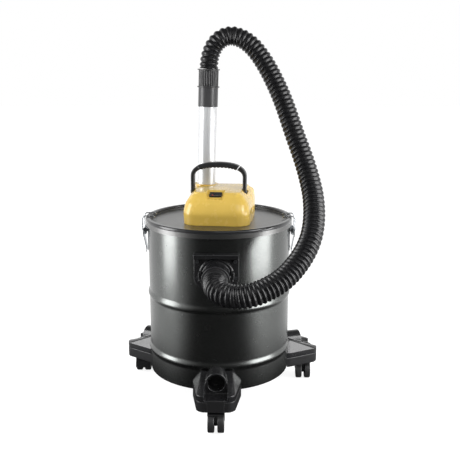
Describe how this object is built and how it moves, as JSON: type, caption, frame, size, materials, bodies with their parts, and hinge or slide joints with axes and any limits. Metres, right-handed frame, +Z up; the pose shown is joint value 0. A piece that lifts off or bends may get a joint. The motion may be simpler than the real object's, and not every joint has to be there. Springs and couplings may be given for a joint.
{
  "type": "drum shop vacuum",
  "caption": "Drum shop vacuum: steel drum on castor feet, lift-off lid with motor head and carry handle, parked metal wand and corrugated hose to the front inlet.",
  "frame": {"origin": "centre of the drum's flat underside, on the drum axis", "axes": "+Z up along the drum axis, -Y towards the hose inlet and the front foot, +X to the right"},
  "size_m": [0.4322, 0.4424, 0.7826],
  "materials": {
    "drum_paint": "satin",
    "lid_paint": "satin",
    "black_gloss": "gloss",
    "black_plastic": "satin",
    "grey_plastic": "satin",
    "yellow_plastic": "gloss",
    "chrome": "polished",
    "zinc_steel": "bright zinc",
    "rubber": "matt",
    "hose_plastic": "gloss",
    "filter_paper": "matt",
    "copper": "plain",
    "aluminium": "plain",
    "wheel_plastic": "satin"
  },
  "bodies": {
    "drum": {"drum_shell": "drum_paint", "drum_base": "drum_paint", "inlet_flange": "black_gloss", "inlet_gasket": "rubber", "inlet_screws": "black_gloss", "inlet_deflector": "grey_plastic", "clip_plate_left": "zinc_steel", "clip_plate_right": "zinc_steel", "clip_rivets": "zinc_steel", "clip_pin_left": "zinc_steel", "clip_pin_right": "zinc_steel", "foot_front_cover": "black_gloss", "foot_left_cover": "black_gloss", "foot_right_cover": "black_gloss", "foot_front_tray": "black_plastic", "foot_left_tray": "black_plastic", "foot_right_tray": "black_plastic", "foot_screws": "zinc_steel", "hose_cuff": "black_plastic", "suction_hose": "hose_plastic"},
    "lid": {"lid": "lid_paint", "lid_gasket": "rubber", "motor_pot": "black_plastic", "pot_screws": "zinc_steel", "filter_cage": "black_plastic", "filter_cartridge": "filter_paper", "filter_nut": "grey_plastic", "head_cover": "yellow_plastic", "head_base": "black_plastic", "switch_bezel": "yellow_plastic", "exhaust_grille": "grey_plastic", "cable_gland": "rubber", "handle_pins": "zinc_steel", "socket_liner": "yellow_plastic", "wand_tube": "chrome", "hose_collar": "black_plastic", "collar_grip": "black_plastic", "motor_stator": "copper", "motor_frame": "aluminium", "fan_housing": "grey_plastic", "bearings": "zinc_steel", "brush_holders": "copper"},
    "rotor": {"armature": "zinc_steel", "impeller": "aluminium"},
    "rocker": {"rocker_switch": "black_gloss"},
    "handle": {"carry_handle": "black_plastic", "handle_grip": "black_plastic"},
    "left_lever": {"clip_lever_left": "zinc_steel"},
    "left_bail": {"clip_bail_left": "zinc_steel"},
    "right_lever": {"clip_lever_right": "zinc_steel"},
    "right_bail": {"clip_bail_right": "zinc_steel"},
    "front_castor": {"castor_front_hood": "black_plastic", "castor_front_axle": "zinc_steel"},
    "front_wheels": {"castor_front_wheels": "wheel_plastic"},
    "left_castor": {"castor_left_hood": "black_plastic", "castor_left_axle": "zinc_steel"},
    "left_wheels": {"castor_left_wheels": "wheel_plastic"},
    "right_castor": {"castor_right_hood": "black_plastic", "castor_right_axle": "zinc_steel"},
    "right_wheels": {"castor_right_wheels": "wheel_plastic"}
  },
  "joints": [
    {"name": "lid_lift", "type": "slide", "parent": "drum", "child": "lid", "axis": [0, 0, 1], "range_m": [0, 0.22], "deforming": ["suction_hose"]},
    {"name": "motor_spin", "type": "hinge", "parent": "lid", "child": "rotor", "pos_m": [0, 0, 0.28], "axis": [0, 0, 1], "continuous": true},
    {"name": "rocker_press", "type": "hinge", "parent": "lid", "child": "rocker", "pos_m": [-0.00475, -0.04522, 0.38315], "axis": [0.9945, -0.1045, 0], "range_deg": [0, 16]},
    {"name": "handle_swing", "type": "hinge", "parent": "lid", "child": "handle", "pos_m": [0, 0, 0.383], "axis": [0.9945, -0.1045, 0], "range_deg": [-10, 35]},
    {"name": "left_clip_open", "type": "hinge", "parent": "drum", "child": "left_lever", "pos_m": [-0.156, 0, 0.3035], "axis": [0, 1, 0], "range_deg": [0, 120]},
    {"name": "left_bail_swing", "type": "hinge", "parent": "left_lever", "child": "left_bail", "pos_m": [-0.156, 0, 0.2965], "axis": [0, 1, 0], "range_deg": [-150, 0]},
    {"name": "right_clip_open", "type": "hinge", "parent": "drum", "child": "right_lever", "pos_m": [0.156, 0, 0.3035], "axis": [0, -1, 0], "range_deg": [0, 120]},
    {"name": "right_bail_swing", "type": "hinge", "parent": "right_lever", "child": "right_bail", "pos_m": [0.156, 0, 0.2965], "axis": [0, -1, 0], "range_deg": [-150, 0]},
    {"name": "front_castor_swivel", "type": "hinge", "parent": "drum", "child": "front_castor", "pos_m": [0, -0.2, -0.012], "axis": [0, 0, 1], "continuous": true},
    {"name": "front_wheels_roll", "type": "hinge", "parent": "front_castor", "child": "front_wheels", "pos_m": [0, -0.207, -0.04], "axis": [1, 0, 0], "continuous": true},
    {"name": "left_castor_swivel", "type": "hinge", "parent": "drum", "child": "left_castor", "pos_m": [-0.18126, 0.08452, -0.012], "axis": [0, 0, 1], "continuous": true},
    {"name": "left_wheels_roll", "type": "hinge", "parent": "left_castor", "child": "left_wheels", "pos_m": [-0.18126, 0.09152, -0.04], "axis": [1, 0, 0], "continuous": true},
    {"name": "right_castor_swivel", "type": "hinge", "parent": "drum", "child": "right_castor", "pos_m": [0.19021, 0.0618, -0.012], "axis": [0, 0, 1], "continuous": true},
    {"name": "right_wheels_roll", "type": "hinge", "parent": "right_castor", "child": "right_wheels", "pos_m": [0.19021, 0.0548, -0.04], "axis": [1, 0, 0], "continuous": true}
  ],
  "couplings": [
    {"joint": "left_bail_swing", "follows": "left_clip_open", "ratio": -1.25},
    {"joint": "right_bail_swing", "follows": "right_clip_open", "ratio": -1.25}
  ]
}
